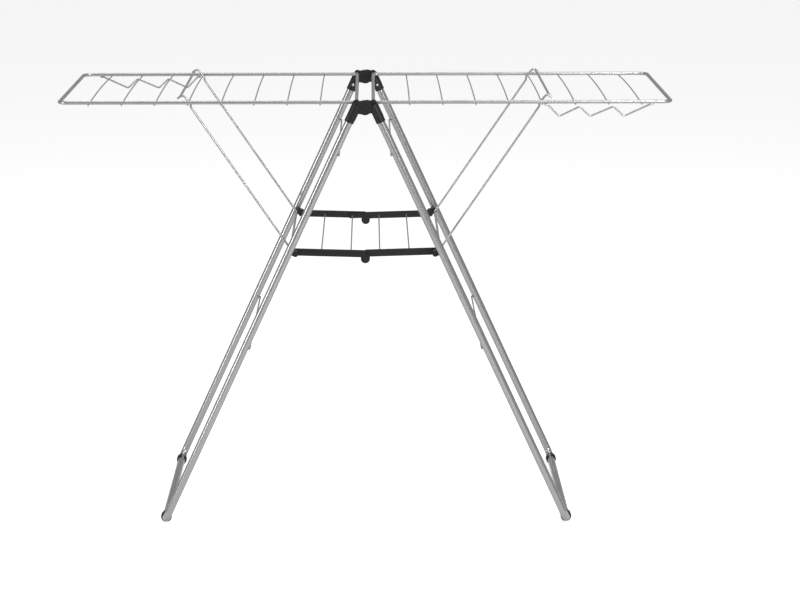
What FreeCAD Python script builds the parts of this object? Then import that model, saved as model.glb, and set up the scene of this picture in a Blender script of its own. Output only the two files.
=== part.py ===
"""Gull-wing clothes drying rack: two hinged leg frames, two wings on wire stays, a folding middle shelf.

Millimetres. Origin on the floor under the middle of the rack, +Z up, +X along the wings, +Y to the back.
The left side is modelled and the right side is the same set of pieces turned half a turn about Z, apart
from the shelf, whose right half runs just inside the left one.
"""
import FreeCAD, Part
import math
import os
from FreeCAD import Vector

# ---- driving dimensions -------------------------------------------------------------------------
DECK_Z = 1000.0            # height of the wing rails' axes
HINGE_DROP = 9.0           # the leg hinge's axis below them
FIT = 0.08                 # radial clearance of a pin in its hole
SEAT = 0.05                # radial clearance of a plastic piece pushed on a tube
GAP = 0.3                  # clearance between pieces that pass each other

# leg frames
LEG_ANGLE = 24.77          # lean of a leg frame from the vertical, degrees
LEG_OFFSET = 19.12         # from the hinge axis to a leg tube's axis
LEG_Y = 248.0              # the leg tubes' axes in front of and behind the middle
LEG_R = 9.0
LEG_WALL = 1.0
LEG_BEND = 24.0
LEG_NECK = 20.0            # straight ends of the foot tube, where the upright tubes meet it
LEG_TOP = 14.5             # where the upright tubes start, measured down the leg from the hinge
FOOT_R = 12.6              # outside of a foot clip
FOOT_Z = 12.0              # height of the bottom tube's axis
FOOT_Y = 215.0
FOOT_LEN = 14.0
FOOT_MOUTH = 7.0           # the clip's slot, which lets it snap over the tube

# leg hinge
HUB_R = 16.0
HUB_THICK = 8.85
PIN_R = 3.5
PIN_HEAD_R = 6.0
PIN_HEAD = 1.6
SLEEVE_R = 11.0
SLEEVE_TOP = 2.0
SLEEVE_END = 45.0
SLEEVE_RIVET = 30.0
RIVET_R = 1.5
RIVET_HEAD_R = 3.2
RIVET_HEAD = 1.4

# wings
WING_END = 691.0           # axis of the outer end bar
WING_PIVOT = 19.0          # axis of the inner end bar, which is the wing's hinge
WING_Y = 228.0             # the rails' axes
RAIL_R = 4.0
RAIL_BEND = 20.0
RAIL_INNER_BEND = 10.0
TRUNNION_R = 3.0
SOCKET_R = 8.0
ROD_R = 1.5
ROD_MARGIN = 67.0          # from the outer end bar to the first rod
ROD_INSET = 82.1           # from the inner end bar to the last rod
ROD_COUNT = 8
ROD_ARCH = 5.0             # how far a rod's middle stands above its ends
STAY_ROD = 3               # the rod that the stay holds, counted from the outer end

# hanger rail under one rail of each wing
HANGER_R = 2.1
HANGER_BEND = 5.0
HANGER_START = 287.0       # these distances are measured inwards from the outer end bar
HANGER_DROP = 33.0         # the notches' depth below the rail's axis
HANGER_CREST = 11.0
HANGER_NOTCHES = [253.0, 183.0, 107.0]
HANGER_CRESTS = [207.0, 131.0]
HANGER_END = 40.0
HANGER_LAND = 8.0          # length of each welded end

# stays
STAY_R = 2.5
STAY_BAR_R = 2.7           # the foot bar and the top bar are a little thicker than the arms
STAY_Y = 212.0
STAY_FOOT_Z = 658.0
STAY_FOOT_INWARD = 2.71    # from a leg tube's axis towards the middle, at that height
STAY_KNEE_DROP = 12.3      # below the rails' axes, where the arm turns upright
STAY_NECK_DROP = 5.0
STAY_NECK_GAP = 1.6        # between the upright part of an arm and the rod it holds
STAY_HOOK = (11.1, 15.5)   # the crook's top: distance beyond that rod, height above the rails' axes
STAY_TIP = (24.1, 7.0)
STAY_BAR = (17.6, 11.3)
STAY_BEND = 3.2

# cross rods of a leg frame, by height
CROSS_ROD_Z = {"upper": 887.0, "lower": 435.0}
CROSS_ROD_R = 2.0

# middle shelf
SHELF_PIVOT_Z = 653.0
SHELF_PIVOT_INWARD = 17.02 # from a leg tube's axis towards the middle, at that height
SHELF_KNUCKLE_Z = 637.0
SHELF_MIDDLE_Z = 648.4     # a bar's axis at the middle of the rack
BAR_HALF = 8.0             # half a bar's height
BAR_THICK = 6.0
BAR_OUTER_Y = 223.5        # outer face of the left half's bars
BAR_PLAY = 0.5             # between the left half's bars and the right half's, which run inside them
ROD_POCKET = 4.0           # how deep a shelf rod sits in a bar
KNUCKLE_R = 10.5
TONGUE = 40.0              # how far the right half runs past the knuckle
TONGUE_HALF = 6.0
SHELF_ROD_R = 1.6
SHELF_ROD_OUT = 101.0
SHELF_ROD_IN = 33.0
SHELF_PIN_R = 3.0
SHELF_SPACER_R = 5.0       # spacer that holds a bar away from its bracket
CAP_R = 6.5
CAP_THICK = 2.0
BRACKET_Y = 224.0          # inner face of a bracket
BRACKET_PIVOT_R = 7.0
BRACKET_STAY_R = 6.0
STAY_SOCKET = 10.0         # how far the stay's foot reaches into a bracket

# front and back are the two signs of Y, and half a turn about Z swaps them
SIDES = {"front": -1, "back": 1}
TWIN = {"front": "back", "back": "front"}

# ---- worked out from them -----------------------------------------------------------------------
LEAN = math.radians(LEG_ANGLE)
HUB_GAP = 0.15             # half the play between the two halves of a leg hinge
HUB_OUT = LEG_Y + HUB_GAP
HUB_IN = LEG_Y - HUB_GAP
HUB_CLEAR = HUB_R + 0.6
HINGE_Z = DECK_Z - HINGE_DROP
LEG_LENGTH = (HINGE_Z + LEG_OFFSET * math.sin(LEAN) - FOOT_Z) / math.cos(LEAN)
ROD_FIRST = WING_END - ROD_MARGIN
ROD_PITCH = (ROD_FIRST - WING_PIVOT - ROD_INSET) / (ROD_COUNT - 1)
STAY_ROD_X = ROD_FIRST - ROD_PITCH * STAY_ROD
ROD_Z = DECK_Z - RAIL_R - ROD_R
ROD_END = WING_Y + RAIL_R - 1.0
BAR_INNER_Y = BAR_OUTER_Y - BAR_THICK - BAR_PLAY


def leg_point(outward, down, y=0.0):
    """A point of the left leg frame: its distance outward from the hinge and down along the leg."""
    x = -outward * math.cos(LEAN) - down * math.sin(LEAN)
    z = HINGE_Z + outward * math.sin(LEAN) - down * math.cos(LEAN)
    return Vector(x, y, z)


def leg_down(z):
    """How far down the leg the tubes' axes reach the height z."""
    return (HINGE_Z + LEG_OFFSET * math.sin(LEAN) - z) / math.cos(LEAN)


def beside_leg(z, inward):
    """(x, z) of a place the given distance inward of a left leg tube's axis, at height z."""
    return leg_point(LEG_OFFSET, leg_down(z)).x + inward, z


def cylinder_y(x, z, radius, y0, y1):
    low, high = min(y0, y1), max(y0, y1)
    return Part.makeCylinder(radius, high - low, Vector(x, low, z), Vector(0, 1, 0))


def slab(points, y0, y1):
    """A flat plate in the XZ plane with the given outline, from y0 to y1."""
    low, high = min(y0, y1), max(y0, y1)
    outline = [Vector(p.x, low, p.z) for p in points]
    face = Part.Face(Part.makePolygon(outline + outline[:1]))
    return face.extrude(Vector(0, high - low, 0))


def corner_arc(before, corner, after, bend):
    """The tangent arc that rounds a corner: its first point, middle and last point."""
    towards = (before - corner).normalize()
    away = (after - corner).normalize()
    half = towards.getAngle(away) / 2
    start = corner + towards * (bend / math.tan(half))
    end = corner + away * (bend / math.tan(half))
    inward = (towards + away).normalize()
    middle = corner + inward * (bend / math.sin(half) - bend)
    return start, middle, end


def wire_path(points, bends, closed=False):
    """Straight runs through the points, with each corner rounded by its bend radius."""
    count = len(points)
    corners = range(count) if closed else range(1, count - 1)
    arcs = {i: corner_arc(points[i - 1], points[i], points[(i + 1) % count], bends[i]) for i in corners}
    edges = []
    runs = count if closed else count - 1
    for i in range(runs):
        j = (i + 1) % count
        start = arcs[i][2] if i in arcs else points[i]
        end = arcs[j][0] if j in arcs else points[j]
        edges.append(Part.LineSegment(start, end).toShape())
        if j in arcs:
            edges.append(Part.Arc(*arcs[j]).toShape())
    return Part.Wire(edges)


def swept(path, radius):
    """A round bar along a path of runs and tangent arcs."""
    first = path.Edges[0]
    start = first.valueAt(first.FirstParameter)
    ahead = first.tangentAt(first.FirstParameter)
    section = Part.Wire(Part.makeCircle(radius, start, ahead))
    return path.makePipeShell([section], True, False)


def bent(points, radius, bend, closed=False):
    bends = bend if isinstance(bend, list) else [bend] * len(points)
    return swept(wire_path(points, bends, closed), radius)


def join(shapes):
    return shapes[0].fuse(shapes[1:]).removeSplitter()


def half_turn(shape):
    turned = shape.copy()
    turned.rotate(Vector(0, 0, 0), Vector(0, 0, 1), 180)
    return turned


SHELF_PIVOT = beside_leg(SHELF_PIVOT_Z, SHELF_PIVOT_INWARD)
STAY_FOOT = beside_leg(STAY_FOOT_Z, STAY_FOOT_INWARD)


# ---- leg frame ----------------------------------------------------------------------------------
def upright_tube(side):
    """A thin-walled straight tube from the hinge down to the foot tube."""
    length = LEG_LENGTH - LEG_BEND - LEG_NECK - LEG_TOP
    top = leg_point(LEG_OFFSET, LEG_TOP, side * LEG_Y)
    down = leg_point(0, 1) - leg_point(0, 0)
    tube = Part.makeCylinder(LEG_R, length, top, down)
    tube = tube.cut(Part.makeCylinder(LEG_R - LEG_WALL, length, top, down))
    centre = leg_point(LEG_OFFSET, SLEEVE_RIVET)
    hole_ends = side * (LEG_Y - LEG_R - 1), side * (LEG_Y - LEG_R / 2)
    return tube.cut(cylinder_y(centre.x, centre.z, RIVET_R + SEAT, *hole_ends))


def foot_tube():
    """The bottom of the leg frame: one thin-walled tube bent twice, butted to both uprights."""
    start = LEG_LENGTH - LEG_BEND - LEG_NECK
    points = [leg_point(LEG_OFFSET, start, -LEG_Y), leg_point(LEG_OFFSET, LEG_LENGTH, -LEG_Y),
              leg_point(LEG_OFFSET, LEG_LENGTH, LEG_Y), leg_point(LEG_OFFSET, start, LEG_Y)]
    return bent(points, LEG_R, LEG_BEND).cut(bent(points, LEG_R - LEG_WALL, LEG_BEND))


def cross_rod(z):
    """A wire welded across the inner sides of the two leg tubes, at the given height."""
    place = leg_point(LEG_OFFSET - LEG_R - CROSS_ROD_R, leg_down(z))
    reach = LEG_Y + LEG_R / 2
    return cylinder_y(place.x, place.z, CROSS_ROD_R, -reach, reach)


def foot_clip(side):
    """A snap-on ring under the bottom tube, with a flat that stands on the floor."""
    centre = leg_point(LEG_OFFSET, LEG_LENGTH)
    y0, y1 = side * FOOT_Y - FOOT_LEN / 2, side * FOOT_Y + FOOT_LEN / 2
    ring = cylinder_y(centre.x, centre.z, FOOT_R, y0, y1)
    ring = ring.cut(cylinder_y(centre.x, centre.z, LEG_R + SEAT, y0 - 1, y1 + 1))
    below = Part.makeBox(4 * FOOT_R, FOOT_LEN + 2, FOOT_R, Vector(centre.x - 2 * FOOT_R, y0 - 1, -FOOT_R))
    mouth = Part.makeBox(FOOT_MOUTH, FOOT_LEN + 2, 2 * FOOT_R, Vector(-FOOT_MOUTH / 2, y0 - 1, 0))
    mouth.rotate(Vector(0, 0, 0), Vector(0, 1, 0), LEG_ANGLE)
    mouth.translate(Vector(centre.x, 0, centre.z))
    return ring.cut(below).cut(mouth)


def hinge_half(side, outer):
    """A moulded hinge half: hub plate, sleeve over the leg tube and socket for the wing's trunnion.

    side is -1 at the front and 1 at the back. outer says which half of the pair lies outside.
    """
    own = (HUB_OUT, HUB_OUT + HUB_THICK) if outer else (HUB_IN - HUB_THICK, HUB_IN)
    inner_layer = (HUB_IN - 2 * SLEEVE_R, HUB_IN + GAP / 2)
    outer_layer = (HUB_OUT - GAP / 2, HUB_OUT + 2 * SLEEVE_R)
    other = inner_layer if outer else outer_layer
    own = [side * y for y in own]
    other = [side * y for y in other]
    edge_in = LEG_OFFSET - SLEEVE_R
    edge_out = LEG_OFFSET + SLEEVE_R
    outline = [(0, -HUB_R), (HUB_R * 0.75, -HUB_R * 0.8), (edge_out, SLEEVE_TOP), (edge_out, SLEEVE_END - 10),
               (edge_in, SLEEVE_END - 10), (edge_in, HUB_R + 2), (0, HUB_R)]
    plate = slab([leg_point(p, t) for p, t in outline], *own)
    hub = cylinder_y(0, HINGE_Z, HUB_R, *own)
    down = leg_point(0, 1) - leg_point(0, 0)
    y = side * LEG_Y
    sleeve = Part.makeCylinder(SLEEVE_R, SLEEVE_END - SLEEVE_TOP, leg_point(LEG_OFFSET, SLEEVE_TOP, y), down)
    socket = cylinder_y(-WING_PIVOT, DECK_Z, SOCKET_R, side * (LEG_Y - SLEEVE_R - 1), side * HUB_IN)
    body = join([plate, hub, sleeve, socket])
    body = body.cut(cylinder_y(0, HINGE_Z, HUB_CLEAR, *other))
    bore = Part.makeCylinder(LEG_R + SEAT, SLEEVE_END, leg_point(LEG_OFFSET, LEG_TOP - SEAT, y), down)
    body = body.cut(bore)
    body = body.cut(cylinder_y(0, HINGE_Z, PIN_R + FIT, side * (LEG_Y - 30), side * (LEG_Y + 30)))
    hole_ends = side * (LEG_Y - 2 * SLEEVE_R), side * (LEG_Y - 1.5)
    body = body.cut(cylinder_y(-WING_PIVOT, DECK_Z, TRUNNION_R + FIT, *hole_ends))
    rivet = leg_point(LEG_OFFSET, SLEEVE_RIVET)
    hole_ends = side * (LEG_Y - SLEEVE_R - 1), side * (LEG_Y - LEG_R + 1)
    return body.cut(cylinder_y(rivet.x, rivet.z, RIVET_R + SEAT, *hole_ends))


def sleeve_rivet(side):
    """The rivet that holds a sleeve on its leg tube, with a domed head on the inner side."""
    place = leg_point(LEG_OFFSET, SLEEVE_RIVET)
    face = LEG_Y - SLEEVE_R
    shank = cylinder_y(place.x, place.z, RIVET_R, side * (face - RIVET_HEAD / 2), side * (LEG_Y - LEG_R + 2))
    ball_r = (RIVET_HEAD_R ** 2 + RIVET_HEAD ** 2) / (2 * RIVET_HEAD)
    ball = Part.makeSphere(ball_r, Vector(place.x, side * (face - RIVET_HEAD + ball_r), place.z))
    rim = cylinder_y(place.x, place.z, RIVET_HEAD_R, side * (face - 2 * RIVET_HEAD), side * face)
    return join([shank, ball.common(rim)])


def hinge_pin(side):
    """A pin with a head at each end, through both halves of a leg hinge."""
    inner, outer = HUB_IN - HUB_THICK - SEAT, HUB_OUT + HUB_THICK + SEAT
    shank = cylinder_y(0, HINGE_Z, PIN_R, side * inner, side * outer)
    heads = [cylinder_y(0, HINGE_Z, PIN_HEAD_R, side * inner, side * (inner - PIN_HEAD)),
             cylinder_y(0, HINGE_Z, PIN_HEAD_R, side * outer, side * (outer + PIN_HEAD))]
    return join([shank] + heads)


def shelf_bracket(side, bar_y):
    """A moulded block saddled on a leg tube, with a pin for a shelf bar and a hole for the stay's foot.

    bar_y is the bar's outer face, measured from the middle plane.
    """
    down = leg_point(0, 1) - leg_point(0, 0)
    depth = (side * BRACKET_Y, side * (LEG_Y - LEG_R / 2))
    shelf_end = cylinder_y(*SHELF_PIVOT, BRACKET_PIVOT_R, *depth)
    stay_end = cylinder_y(*STAY_FOOT, BRACKET_STAY_R, *depth)
    middle = ((SHELF_PIVOT[0] + STAY_FOOT[0]) / 2, (SHELF_PIVOT[1] + STAY_FOOT[1]) / 2)
    web = cylinder_y(*middle, BRACKET_PIVOT_R, *depth)
    pin_end = side * (bar_y - BAR_THICK)
    pin = cylinder_y(*SHELF_PIVOT, SHELF_PIN_R, pin_end, side * (BRACKET_Y + 1))
    pieces = [shelf_end, web, stay_end, pin]
    if bar_y + GAP < BRACKET_Y - 1:
        spacer_end = side * (bar_y + GAP)
        pieces.append(cylinder_y(*SHELF_PIVOT, SHELF_SPACER_R, spacer_end, depth[0]))
    block = join(pieces)
    tube = Part.makeCylinder(LEG_R, LEG_LENGTH / 2, leg_point(LEG_OFFSET, LEG_LENGTH / 5, side * LEG_Y), down)
    mouth, floor = side * (BRACKET_Y - 1), side * (BRACKET_Y + STAY_SOCKET + 1)
    hole = cylinder_y(*STAY_FOOT, STAY_BAR_R + FIT, mouth, floor)
    return block.cut(tube).cut(hole)


# ---- wing ---------------------------------------------------------------------------------------
def wing_frame():
    """A closed loop of round bar with a trunnion at each inner corner."""
    corners = [Vector(-WING_PIVOT, -WING_Y, DECK_Z), Vector(-WING_END, -WING_Y, DECK_Z),
               Vector(-WING_END, WING_Y, DECK_Z), Vector(-WING_PIVOT, WING_Y, DECK_Z)]
    bends = [RAIL_INNER_BEND, RAIL_BEND, RAIL_BEND, RAIL_INNER_BEND]
    middle = [Vector(-(WING_PIVOT + WING_END) / 2, -WING_Y, DECK_Z)]
    loop = bent(middle + corners[1:] + corners[:1] + middle, RAIL_R, [0] + bends[1:] + bends[:1] + [0])
    trunnions = []
    for side in SIDES.values():
        root, end = side * (WING_Y - 14), side * (LEG_Y - 2)
        trunnions.append(cylinder_y(-WING_PIVOT, DECK_Z, TRUNNION_R, root, end))
    return join([loop] + trunnions)


def rod_x(number):
    """Where a left wing's rod lies, counted from 0 at the outer end."""
    return -(ROD_FIRST - ROD_PITCH * number)


def arched_rod(x):
    """A wire that rises a little from its ends, which are welded under the rails."""
    ends = [Vector(x, -ROD_END, ROD_Z), Vector(x, ROD_END, ROD_Z)]
    arc = Part.Arc(ends[0], Vector(x, 0, ROD_Z + ROD_ARCH), ends[1]).toShape()
    return swept(Part.Wire([arc]), ROD_R)


def hanger_rail():
    """A saw-toothed wire under the wing's far rail, whose notches keep hangers apart."""
    weld = -(RAIL_R + HANGER_R)
    profile = [(HANGER_START, weld), (HANGER_START - HANGER_LAND, weld)]
    for i, notch in enumerate(HANGER_NOTCHES):
        profile.append((notch, -HANGER_DROP))
        if i < len(HANGER_CRESTS):
            profile.append((HANGER_CRESTS[i], -HANGER_CREST))
    profile += [(HANGER_END + HANGER_LAND, weld), (HANGER_END, weld)]
    return bent([Vector(x - WING_END, WING_Y, DECK_Z + z) for x, z in profile], HANGER_R, HANGER_BEND)


# ---- stay ---------------------------------------------------------------------------------------
def stay():
    """A wire frame: a foot bar in the brackets, two arms with crooks over a wing rod, and a top bar."""
    neck_x = ROD_R + STAY_R + STAY_NECK_GAP - STAY_ROD_X
    knee = (neck_x, DECK_Z - STAY_KNEE_DROP)
    neck = (neck_x, DECK_Z - STAY_NECK_DROP)
    hook, tip, bar = ((-STAY_ROD_X - x, DECK_Z + z) for x, z in (STAY_HOOK, STAY_TIP, STAY_BAR))
    pieces = []
    for side in SIDES.values():
        points = [Vector(x, side * STAY_Y, z) for x, z in (STAY_FOOT, knee, neck, hook, tip)]
        bends = [0, STAY_BEND * 3, STAY_BEND, STAY_BEND * 2, 0]
        pieces.append(bent(points, STAY_R, bends))
    foot_end = BRACKET_Y + STAY_SOCKET
    pieces.append(cylinder_y(*STAY_FOOT, STAY_BAR_R, -foot_end, foot_end))
    pieces.append(cylinder_y(*bar, STAY_BAR_R, -STAY_Y, STAY_Y))
    return pieces[0].fuse(pieces[1:])


# ---- shelf --------------------------------------------------------------------------------------
def shelf_line(x):
    """Height of the left half's bar axis at x, which is negative on that half."""
    slope = (SHELF_PIVOT[1] - SHELF_MIDDLE_Z) / SHELF_PIVOT[0]
    return SHELF_MIDDLE_Z + slope * x


def shelf_rod(x, bar_y):
    """A wire across the shelf, with its ends in pockets of the two bars."""
    reach = bar_y - BAR_THICK + ROD_POCKET
    return cylinder_y(x, shelf_line(x), SHELF_ROD_R, -reach, reach)


def shelf_bar(side, bar_y, tongue, rods):
    """One bar of a left shelf half, from its pivot on the leg to the knuckle at the middle."""
    y0, y1 = side * bar_y, side * (bar_y - BAR_THICK)
    px, pz = SHELF_PIVOT
    beam = slab([Vector(px, 0, pz - BAR_HALF), Vector(0, 0, SHELF_MIDDLE_Z - BAR_HALF),
                 Vector(0, 0, SHELF_MIDDLE_Z + BAR_HALF), Vector(px, 0, pz + BAR_HALF)], y0, y1)
    pieces = [beam, cylinder_y(px, pz, BAR_HALF, y0, y1),
              cylinder_y(0, SHELF_KNUCKLE_Z, KNUCKLE_R, y0, y1)]
    if tongue:
        z0, z1 = shelf_line(-1), shelf_line(tongue)
        pieces.append(slab([Vector(-1, 0, z0 - TONGUE_HALF), Vector(tongue, 0, z1 - TONGUE_HALF),
                            Vector(tongue, 0, z1 + TONGUE_HALF), Vector(-1, 0, z0 + TONGUE_HALF)], y0, y1))
    bar = join(pieces).cut(cylinder_y(px, pz, SHELF_PIN_R + FIT, side * (bar_y + 1), y1 - side))
    for rod in rods:
        bar = bar.cut(rod)
    return bar


def knuckle_cap(side):
    """The round cap that closes the outer face of a shelf bar's middle pivot."""
    return cylinder_y(0, SHELF_KNUCKLE_Z, CAP_R, side * BAR_OUTER_Y, side * (BAR_OUTER_Y + CAP_THICK))


# ---- the whole rack -----------------------------------------------------------------------------
def leg_parts():
    """Both leg frames. Each left piece has a twin half a turn round, so front and back change places."""
    parts = {"left_foot_tube": foot_tube(), "right_foot_tube": half_turn(foot_tube())}
    for level, z in CROSS_ROD_Z.items():
        parts["left_" + level + "_cross_rod"] = cross_rod(z)
        parts["right_" + level + "_cross_rod"] = half_turn(cross_rod(z))
    for place, side in SIDES.items():
        twin = TWIN[place]
        outer = place == "front"
        parts["left_" + place + "_leg_tube"] = upright_tube(side)
        parts["right_" + twin + "_leg_tube"] = half_turn(upright_tube(side))
        parts["left_" + place + "_foot_clip"] = foot_clip(side)
        parts["right_" + twin + "_foot_clip"] = half_turn(foot_clip(side))
        parts["left_" + place + "_hinge_half"] = hinge_half(side, outer)
        parts["right_" + twin + "_hinge_half"] = half_turn(hinge_half(side, outer))
        parts["left_" + place + "_sleeve_rivet"] = sleeve_rivet(side)
        parts["right_" + twin + "_sleeve_rivet"] = half_turn(sleeve_rivet(side))
        parts["left_" + place + "_shelf_bracket"] = shelf_bracket(side, BAR_OUTER_Y)
        parts["right_" + twin + "_shelf_bracket"] = half_turn(shelf_bracket(side, BAR_INNER_Y))
        parts[place + "_hinge_pin"] = hinge_pin(side)
    return parts


def wing_parts():
    """Both wings, with their rods numbered from the outer end, and the stays."""
    pieces = {"wing_frame": wing_frame(), "hanger_rail": hanger_rail(), "stay": stay()}
    for i in range(ROD_COUNT):
        pieces["wing_rod_" + str(i + 1)] = arched_rod(rod_x(i))
    parts = {}
    for name, shape in pieces.items():
        parts["left_" + name] = shape
        parts["right_" + name] = half_turn(shape)
    return parts


def shelf_parts():
    """The folding shelf. The right half is modelled as a left one just inside it, then turned round."""
    outer_rod = shelf_rod(-SHELF_ROD_OUT, BAR_OUTER_Y)
    places = {"outer": -SHELF_ROD_OUT, "middle": -SHELF_ROD_IN, "inner": SHELF_ROD_IN}
    inner_rods = {name: shelf_rod(x, BAR_INNER_Y) for name, x in places.items()}
    parts = {"left_shelf_rod": outer_rod}
    for name, rod in inner_rods.items():
        parts["right_shelf_" + name + "_rod"] = half_turn(rod)
    for place, side in SIDES.items():
        right_bar = shelf_bar(side, BAR_INNER_Y, TONGUE, inner_rods.values())
        parts["left_shelf_" + place + "_bar"] = shelf_bar(side, BAR_OUTER_Y, 0, [outer_rod])
        parts["right_shelf_" + TWIN[place] + "_bar"] = half_turn(right_bar)
        parts[place + "_knuckle_cap"] = knuckle_cap(side)
    return parts


def main():
    os.makedirs("parts", exist_ok=True)
    for name, shape in {**leg_parts(), **wing_parts(), **shelf_parts()}.items():
        if not shape.isValid() or len(shape.Solids) != 1:
            print(name, "has", len(shape.Solids), "solids, valid", shape.isValid())
        shape.exportStep(os.path.join("parts", name + ".step"))


main()
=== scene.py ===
"""Gull-wing clothes drying rack, put together from its legs up, with the finish of every surface.

Metres, in the rack's own frame: origin on the floor under its middle, +X along the wings, +Y to the back.
"""
import math

import bpy
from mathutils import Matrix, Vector


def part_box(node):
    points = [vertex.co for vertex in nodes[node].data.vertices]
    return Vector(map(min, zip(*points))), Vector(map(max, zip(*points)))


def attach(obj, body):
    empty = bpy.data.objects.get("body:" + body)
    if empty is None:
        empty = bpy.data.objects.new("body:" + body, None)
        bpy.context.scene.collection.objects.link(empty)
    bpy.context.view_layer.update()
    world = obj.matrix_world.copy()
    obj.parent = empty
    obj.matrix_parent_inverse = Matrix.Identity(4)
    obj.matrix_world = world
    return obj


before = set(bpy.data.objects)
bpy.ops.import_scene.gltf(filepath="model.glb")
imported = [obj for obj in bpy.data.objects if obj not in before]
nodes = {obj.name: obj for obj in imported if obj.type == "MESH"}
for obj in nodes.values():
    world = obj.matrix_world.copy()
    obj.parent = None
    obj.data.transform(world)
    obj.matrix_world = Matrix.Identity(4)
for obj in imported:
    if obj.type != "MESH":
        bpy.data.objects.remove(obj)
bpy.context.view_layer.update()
SIDES = {"left": -1, "right": 1}
PLACES = {"front": -1, "back": 1}


# ---- leg frames ----------------------------------------------------------------------------------
# Two U-shaped frames of 18 mm steel tube, powder coated a satin silver, so the coat has a fine
# orange-peel texture, hardly any grain of colour, and a little dust settled on what faces up.

def group_socket(group, name, kind, value=None, way="INPUT"):
    socket = group.interface.new_socket(name=name, in_out=way, socket_type=kind)
    if value is not None:
        socket.default_value = value
    return socket


def link(tree, start, end):
    tree.links.new(start, end)


def node(tree, kind, place=(0, 0), **settings):
    made = tree.nodes.new(kind)
    made.location = place
    for name, value in settings.items():
        setattr(made, name, value)
    return made


def make_grain_group():
    """Fine surface relief: a height that one noise gives, at the scale and depth asked for."""
    group = bpy.data.node_groups.new("surface_grain", "ShaderNodeTree")
    group_socket(group, "Scale", "NodeSocketFloat", 900.0)
    group_socket(group, "Coarse Scale", "NodeSocketFloat", 60.0)
    group_socket(group, "Coarse Share", "NodeSocketFloat", 0.3)
    group_socket(group, "Height", "NodeSocketFloat", way="OUTPUT")
    given = node(group, "NodeGroupInput", (-800, 0))
    place = node(group, "ShaderNodeTexCoord", (-800, -200))
    fine = node(group, "ShaderNodeTexNoise", (-500, 100))
    fine.inputs["Detail"].default_value = 3.0
    coarse = node(group, "ShaderNodeTexNoise", (-500, -200))
    coarse.inputs["Detail"].default_value = 2.0
    link(group, place.outputs["Object"], fine.inputs["Vector"])
    link(group, place.outputs["Object"], coarse.inputs["Vector"])
    link(group, given.outputs["Scale"], fine.inputs["Scale"])
    link(group, given.outputs["Coarse Scale"], coarse.inputs["Scale"])
    blend = node(group, "ShaderNodeMix", (-200, 0), data_type="FLOAT")
    link(group, given.outputs["Coarse Share"], blend.inputs["Factor"])
    link(group, fine.outputs["Fac"], blend.inputs["A"])
    link(group, coarse.outputs["Fac"], blend.inputs["B"])
    out = node(group, "NodeGroupOutput", (100, 0))
    link(group, blend.outputs["Result"], out.inputs["Height"])
    return group


def make_wear_group():
    """Everyday use: slow drifts of colour, and dust that lies where the surface looks up."""
    group = bpy.data.node_groups.new("tone_and_dust", "ShaderNodeTree")
    group_socket(group, "Colour", "NodeSocketColor", (0.5, 0.5, 0.5, 1))
    group_socket(group, "Second Colour", "NodeSocketColor", (0.4, 0.4, 0.4, 1))
    group_socket(group, "Drift Scale", "NodeSocketFloat", 14.0)
    group_socket(group, "Dust Colour", "NodeSocketColor", (0.6, 0.58, 0.55, 1))
    group_socket(group, "Dust", "NodeSocketFloat", 0.1)
    group_socket(group, "Roughness", "NodeSocketFloat", 0.4)
    group_socket(group, "Roughness Swing", "NodeSocketFloat", 0.08)
    group_socket(group, "Colour", "NodeSocketColor", way="OUTPUT")
    group_socket(group, "Roughness", "NodeSocketFloat", way="OUTPUT")
    given = node(group, "NodeGroupInput", (-1000, 0))
    place = node(group, "ShaderNodeTexCoord", (-1000, -400))
    drift = node(group, "ShaderNodeTexNoise", (-750, -100))
    drift.inputs["Detail"].default_value = 4.0
    link(group, place.outputs["Object"], drift.inputs["Vector"])
    link(group, given.outputs["Drift Scale"], drift.inputs["Scale"])
    tone = node(group, "ShaderNodeMix", (-450, 150), data_type="RGBA")
    link(group, drift.outputs["Fac"], tone.inputs["Factor"])
    link(group, given.outputs["Colour"], tone.inputs["A"])
    link(group, given.outputs["Second Colour"], tone.inputs["B"])
    facing = node(group, "ShaderNodeNewGeometry", (-1000, -700))
    split = node(group, "ShaderNodeSeparateXYZ", (-800, -700))
    link(group, facing.outputs["Normal"], split.inputs["Vector"])
    upward = node(group, "ShaderNodeMapRange", (-600, -700))
    upward.inputs["From Min"].default_value = 0.35
    link(group, split.outputs["Z"], upward.inputs["Value"])
    specks = node(group, "ShaderNodeTexNoise", (-800, -1000))
    specks.inputs["Scale"].default_value = 420.0
    link(group, place.outputs["Object"], specks.inputs["Vector"])
    settled = node(group, "ShaderNodeMath", (-400, -800), operation="MULTIPLY")
    link(group, upward.outputs["Result"], settled.inputs[0])
    link(group, specks.outputs["Fac"], settled.inputs[1])
    amount = node(group, "ShaderNodeMath", (-200, -700), operation="MULTIPLY")
    link(group, settled.outputs["Value"], amount.inputs[0])
    link(group, given.outputs["Dust"], amount.inputs[1])
    dusted = node(group, "ShaderNodeMix", (-150, 100), data_type="RGBA")
    link(group, amount.outputs["Value"], dusted.inputs["Factor"])
    link(group, tone.outputs["Result"], dusted.inputs["A"])
    link(group, given.outputs["Dust Colour"], dusted.inputs["B"])
    swing = node(group, "ShaderNodeMath", (-400, -300), operation="MULTIPLY")
    link(group, drift.outputs["Fac"], swing.inputs[0])
    link(group, given.outputs["Roughness Swing"], swing.inputs[1])
    rough = node(group, "ShaderNodeMath", (-150, -250), operation="ADD")
    link(group, given.outputs["Roughness"], rough.inputs[0])
    link(group, swing.outputs["Value"], rough.inputs[1])
    out = node(group, "NodeGroupOutput", (150, 0))
    link(group, dusted.outputs["Result"], out.inputs["Colour"])
    link(group, rough.outputs["Value"], out.inputs["Roughness"])
    return group


GRAIN = make_grain_group()
WEAR = make_wear_group()


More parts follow.
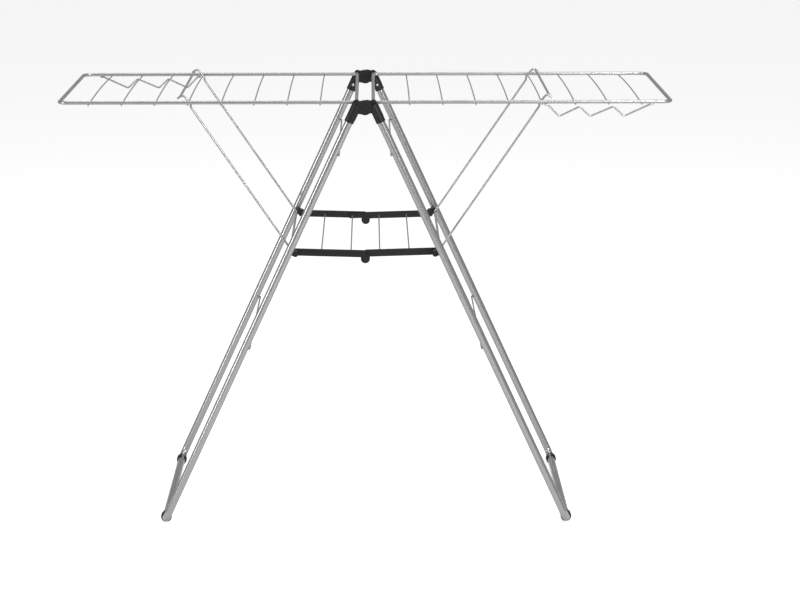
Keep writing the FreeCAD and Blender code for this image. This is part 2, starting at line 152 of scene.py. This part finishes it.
def finish(name, colour, second, metallic, roughness, grain, depth, dust=0.1,
           coarse=(60.0, 0.3), specular=0.5):
    """A material from the two groups: its tone and dust, its roughness and its relief."""
    material = bpy.data.materials.new(name)
    material.use_nodes = True
    tree = material.node_tree
    shader = tree.nodes["Principled BSDF"]
    shader.inputs["Metallic"].default_value = metallic
    shader.inputs["Specular IOR Level"].default_value = specular
    wear = node(tree, "ShaderNodeGroup", (-500, 200), node_tree=WEAR)
    wear.inputs["Colour"].default_value = (*colour, 1)
    wear.inputs["Second Colour"].default_value = (*second, 1)
    wear.inputs["Dust"].default_value = dust
    wear.inputs["Roughness"].default_value = roughness
    link(tree, wear.outputs["Colour"], shader.inputs["Base Color"])
    link(tree, wear.outputs["Roughness"], shader.inputs["Roughness"])
    relief = node(tree, "ShaderNodeGroup", (-700, -200), node_tree=GRAIN)
    relief.inputs["Scale"].default_value = grain
    relief.inputs["Coarse Scale"].default_value = coarse[0]
    relief.inputs["Coarse Share"].default_value = coarse[1]
    bump = node(tree, "ShaderNodeBump", (-300, -200))
    bump.inputs["Distance"].default_value = depth
    bump.inputs["Strength"].default_value = 0.12
    link(tree, relief.outputs["Height"], bump.inputs["Height"])
    link(tree, bump.outputs["Normal"], shader.inputs["Normal"])
    return material


def coat(material, *names):
    """Gives the CAD nodes whose names are listed this finish."""
    for name in names:
        for place in nodes[name].material_slots:
            place.material = material


SILVER = (0.47, 0.475, 0.48)
SILVER_SHADE = (0.42, 0.425, 0.43)
silver_tube = finish("silver_tube_coat", SILVER, SILVER_SHADE, 0.85, 0.20, 1500.0, 0.00006, dust=0.06)
for side in SIDES:
    coat(silver_tube, side + "_foot_tube", side + "_front_leg_tube", side + "_back_leg_tube")

# ---- cross rods and weld beads -------------------------------------------------------------------
# Thin wires brace each leg frame. They are resistance welded to the tubes, and so are the wings'
# rods and hanger rails to the wing rails, which leaves a small coated bead at every joint.
silver_wire = finish("silver_wire_coat", SILVER, SILVER_SHADE, 0.75, 0.26, 1900.0, 0.00005, dust=0.06)
for side in SIDES:
    for level in ("upper", "lower"):
        coat(silver_wire, f"{side}_{level}_cross_rod")


def weld_tree():
    """A node tree that sets one uneven bead at each point of its mesh, sized by the points' own scale."""
    tree = bpy.data.node_groups.new("weld_beads", "GeometryNodeTree")
    tree.interface.new_socket(name="Geometry", in_out="INPUT", socket_type="NodeSocketGeometry")
    for name, kind, value in (("Radius", "NodeSocketFloat", 0.002),
                              ("Unevenness", "NodeSocketFloat", 0.0004),
                              ("Finish", "NodeSocketMaterial", None)):
        socket = tree.interface.new_socket(name=name, in_out="INPUT", socket_type=kind)
        if value is not None:
            socket.default_value = value
    tree.interface.new_socket(name="Geometry", in_out="OUTPUT", socket_type="NodeSocketGeometry")
    given = node(tree, "NodeGroupInput", (-900, 0))
    ball = node(tree, "GeometryNodeMeshIcoSphere", (-700, -200))
    ball.inputs["Subdivisions"].default_value = 3
    link(tree, given.outputs["Radius"], ball.inputs["Radius"])
    noise = node(tree, "ShaderNodeTexNoise", (-700, -450))
    noise.inputs["Scale"].default_value = 700.0
    centred = node(tree, "ShaderNodeVectorMath", (-500, -450), operation="SUBTRACT")
    centred.inputs[1].default_value = (0.5, 0.5, 0.5)
    link(tree, noise.outputs["Color"], centred.inputs[0])
    scaled = node(tree, "ShaderNodeVectorMath", (-300, -450), operation="SCALE")
    link(tree, centred.outputs["Vector"], scaled.inputs[0])
    link(tree, given.outputs["Unevenness"], scaled.inputs["Scale"])
    stretch = node(tree, "GeometryNodeInputNamedAttribute", (-700, 200), data_type="FLOAT_VECTOR")
    stretch.inputs["Name"].default_value = "bead_scale"
    spread = node(tree, "GeometryNodeInstanceOnPoints", (-400, 0))
    link(tree, given.outputs["Geometry"], spread.inputs["Points"])
    link(tree, ball.outputs["Mesh"], spread.inputs["Instance"])
    link(tree, stretch.outputs["Attribute"], spread.inputs["Scale"])
    solid = node(tree, "GeometryNodeRealizeInstances", (-200, 0))
    link(tree, spread.outputs["Instances"], solid.inputs["Geometry"])
    rough = node(tree, "GeometryNodeSetPosition", (0, 0))
    link(tree, solid.outputs["Geometry"], rough.inputs["Geometry"])
    link(tree, scaled.outputs["Vector"], rough.inputs["Offset"])
    soft = node(tree, "GeometryNodeSetShadeSmooth", (200, 0))
    link(tree, rough.outputs["Geometry"], soft.inputs["Geometry"])
    painted = node(tree, "GeometryNodeSetMaterial", (400, 0))
    link(tree, soft.outputs["Geometry"], painted.inputs["Geometry"])
    link(tree, given.outputs["Finish"], painted.inputs["Material"])
    out = node(tree, "NodeGroupOutput", (600, 0))
    link(tree, painted.outputs["Geometry"], out.inputs["Geometry"])
    return tree


WELDS = weld_tree()
BEAD_R = 0.0019
UNEVENNESS = 0.0006


def beads(name, body, spots):
    """One mesh of weld beads on a body. Each spot is a place and the bead's spread along X, Y and Z."""
    mesh = bpy.data.meshes.new(name + "_spots")
    mesh.from_pydata([place for place, spread in spots], [], [])
    scale = mesh.attributes.new("bead_scale", "FLOAT_VECTOR", "POINT")
    for i, (place, spread) in enumerate(spots):
        scale.data[i].vector = spread
    maker = bpy.data.objects.new(name + "_maker", mesh)
    bpy.context.collection.objects.link(maker)
    modifier = maker.modifiers.new("welds", "NODES")
    modifier.node_group = WELDS
    keys = {item.name: item.identifier for item in WELDS.interface.items_tree if item.in_out == "INPUT"}
    modifier[keys["Radius"]] = BEAD_R
    modifier[keys["Unevenness"]] = UNEVENNESS
    modifier[keys["Finish"]] = silver_wire
    ready = maker.evaluated_get(bpy.context.evaluated_depsgraph_get())
    made = bpy.data.objects.new(name, bpy.data.meshes.new_from_object(ready))
    bpy.context.collection.objects.link(made)
    bpy.data.objects.remove(maker)
    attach(made, body)
    return made


TUBE_R = 0.009
LEG_BEAD_OUT = 0.0016      # from a cross rod's axis towards its tube
LEG_BEAD_UP = 0.0008
LEG_BEAD_SPREAD = (0.95, 1.9, 1.1)
for side, sign in SIDES.items():
    spots = []
    for level in ("upper", "lower"):
        low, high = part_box(f"{side}_{level}_cross_rod")
        middle = (Vector(low) + Vector(high)) / 2
        tube_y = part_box(side + "_foot_tube")[1][1] - TUBE_R
        for end in PLACES.values():
            place = (middle.x + sign * LEG_BEAD_OUT, end * tube_y, middle.z + LEG_BEAD_UP)
            spots.append((place, LEG_BEAD_SPREAD))
    beads(side + "_leg_welds", side + "_leg", spots)

# ---- foot clips ----------------------------------------------------------------------------------
# Black moulded pieces: four clips snapped under the bottom tubes, on which the rack stands.
BLACK = (0.009, 0.009, 0.0095)
BLACK_SHADE = (0.014, 0.014, 0.0145)
black_plastic = finish("black_moulded", BLACK, BLACK_SHADE, 0.0, 0.36, 1400.0, 0.0001, dust=0.03,
                       coarse=(240.0, 0.2), specular=0.35)
for side in SIDES:
    for place in PLACES:
        coat(black_plastic, f"{side}_{place}_foot_clip")

# ---- leg hinges ----------------------------------------------------------------------------------
# Each leg ends in a black moulded half with a sleeve over the tube and a hub. A headed steel pin
# joins two halves, and a domed rivet keeps each sleeve on its tube.
bright = finish("rivet_zinc", (0.62, 0.62, 0.63), (0.52, 0.52, 0.53), 1.0, 0.26, 1200.0, 0.00006, dust=0.04)
for side in SIDES:
    for place in PLACES:
        coat(black_plastic, f"{side}_{place}_hinge_half")
        coat(bright, f"{side}_{place}_sleeve_rivet")
for place in PLACES:
    coat(black_plastic, place + "_hinge_pin")

# ---- wings ---------------------------------------------------------------------------------------
# Closed loops of 8 mm bar with eight slightly arched 3 mm rods welded under the rails, and a
# saw-toothed wire under one rail of each that keeps clothes hangers apart.
ROD_OVERHANG = 0.003       # how far a rod's end passes its rail's axis
ROD_BEAD_UP = 0.0026       # from a rod's underside
ROD_BEAD_SPREAD = (0.85, 1.35, 0.8)
HANGER_LAND = 0.004        # from a hanger rail's end to the middle of its weld
HANGER_BEAD_DOWN = 0.0004
HANGER_BEAD_SPREAD = (1.9, 0.8, 0.75)
silver_rail = finish("silver_rail_coat", SILVER, SILVER_SHADE, 0.80, 0.24, 1700.0, 0.00006, dust=0.06)
for side in SIDES:
    coat(silver_rail, side + "_wing_frame")
    coat(silver_wire, side + "_hanger_rail", *(f"{side}_wing_rod_{i}" for i in range(1, 9)))
    rail_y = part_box(side + "_wing_rod_1")[1][1] - ROD_OVERHANG
    spots = []
    for i in range(1, 9):
        low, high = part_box(f"{side}_wing_rod_{i}")
        x = (low[0] + high[0]) / 2
        z = low[2] + ROD_BEAD_UP
        for end in PLACES.values():
            spots.append(((x, end * rail_y, z), ROD_BEAD_SPREAD))
    low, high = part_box(side + "_hanger_rail")
    wire_z = high[2] - HANGER_BEAD_DOWN
    for x in (low[0] + HANGER_LAND, high[0] - HANGER_LAND):
        spots.append(((x, (low[1] + high[1]) / 2, wire_z), HANGER_BEAD_SPREAD))
    beads(side + "_wing_welds", side + "_wing", spots)

# ---- stays ---------------------------------------------------------------------------------------
# Wire frames whose crooks hook over a wing rod and hold the wing level.
for side in SIDES:
    coat(silver_wire, side + "_stay")

# ---- middle shelf --------------------------------------------------------------------------------
# Two pairs of black moulded bars, hinged at the legs and at the middle, with thin coated wires
# between them.
for side in SIDES:
    for place in PLACES:
        coat(black_plastic, f"{side}_{place}_shelf_bracket", f"{side}_shelf_{place}_bar")
for place in PLACES:
    coat(black_plastic, place + "_knuckle_cap")
coat(silver_wire, "left_shelf_rod", "right_shelf_outer_rod", "right_shelf_middle_rod",
     "right_shelf_inner_rod")

# ---- floor, light and camera ---------------------------------------------------------------------
# A white floor that shows only soft shadows, a pale even sky, three soft lamps, and a camera a
# little above the rack.
floor_mesh = bpy.data.meshes.new("floor")
REACH = 30.0
FLOOR_Z = -0.0002          # just below the clips' undersides, so that no faces coincide
FLOOR_LIFT = 0.62
SKY_STRENGTH = 0.34
corners = [(x * REACH, y * REACH, FLOOR_Z) for x, y in ((-1, -1), (1, -1), (1, 1), (-1, 1))]
floor_mesh.from_pydata(corners, [], [(0, 1, 2, 3)])
floor = bpy.data.objects.new("floor", floor_mesh)
bpy.context.collection.objects.link(floor)
paper = bpy.data.materials.new("floor_white")
paper.use_nodes = True
paper_tree = paper.node_tree
paper_shader = paper_tree.nodes["Principled BSDF"]
paper_shader.inputs["Base Color"].default_value = (0.85, 0.85, 0.85, 1)
paper_shader.inputs["Roughness"].default_value = 0.95
paper_shader.inputs["Specular IOR Level"].default_value = 0.1
paper_shader.inputs["Emission Color"].default_value = (1, 1, 1, 1)
paper_rays = node(paper_tree, "ShaderNodeLightPath", (-600, 0))
paper_lift = node(paper_tree, "ShaderNodeMath", (-300, 0), operation="MULTIPLY")
paper_lift.inputs[1].default_value = FLOOR_LIFT
link(paper_tree, paper_rays.outputs["Is Camera Ray"], paper_lift.inputs[0])
link(paper_tree, paper_lift.outputs["Value"], paper_shader.inputs["Emission Strength"])
floor_mesh.materials.append(paper)

world = bpy.data.worlds.new("sky")
world.use_nodes = True
bpy.context.scene.world = world
sky = world.node_tree
glow = sky.nodes["Background"]
rays = node(sky, "ShaderNodeLightPath", (-600, 0))
seen = node(sky, "ShaderNodeMix", (-300, 0), data_type="FLOAT")
seen.inputs["A"].default_value = SKY_STRENGTH
seen.inputs["B"].default_value = 1.0
link(sky, rays.outputs["Is Camera Ray"], seen.inputs["Factor"])
link(sky, seen.outputs["Result"], glow.inputs["Strength"])
glow.inputs["Color"].default_value = (1, 1, 1, 1)


def softbox(name, place, aim, size, power):
    lamp = bpy.data.lights.new(name, "AREA")
    lamp.energy = power
    lamp.shape = "RECTANGLE"
    lamp.size, lamp.size_y = size
    held = bpy.data.objects.new(name, lamp)
    held.location = place
    held.rotation_euler = (Vector(aim) - Vector(place)).to_track_quat("-Z", "Y").to_euler()
    bpy.context.collection.objects.link(held)


softbox("key", (1.5, -2.6, 2.6), (0, 0, 0.6), (0.5, 2.6), 85)
softbox("left_strip", (-3.0, -1.6, 1.6), (0, 0, 0.6), (0.5, 2.4), 38)
softbox("top", (0.0, 0.4, 3.6), (0, 0, 0.6), (2.6, 1.0), 30)

LENS = 96.8535
SHIFT = (0.042625, -0.0075)
CAMERA_PLACE = (0.011, -5.041, 1.739)
CAMERA_DOWN, CAMERA_ROLL, CAMERA_TURN = 13.82, 0.16, 0.08
camera_data = bpy.data.cameras.new("camera")
camera_data.sensor_width = 36.0
camera_data.lens = LENS
camera_data.shift_x, camera_data.shift_y = SHIFT
camera = bpy.data.objects.new("camera", camera_data)
camera.location = CAMERA_PLACE
turns = (90 - CAMERA_DOWN, CAMERA_ROLL, CAMERA_TURN)
camera.rotation_euler = [math.radians(angle) for angle in turns]
bpy.context.collection.objects.link(camera)
bpy.context.scene.camera = camera
bpy.context.scene.view_settings.view_transform = "Standard"
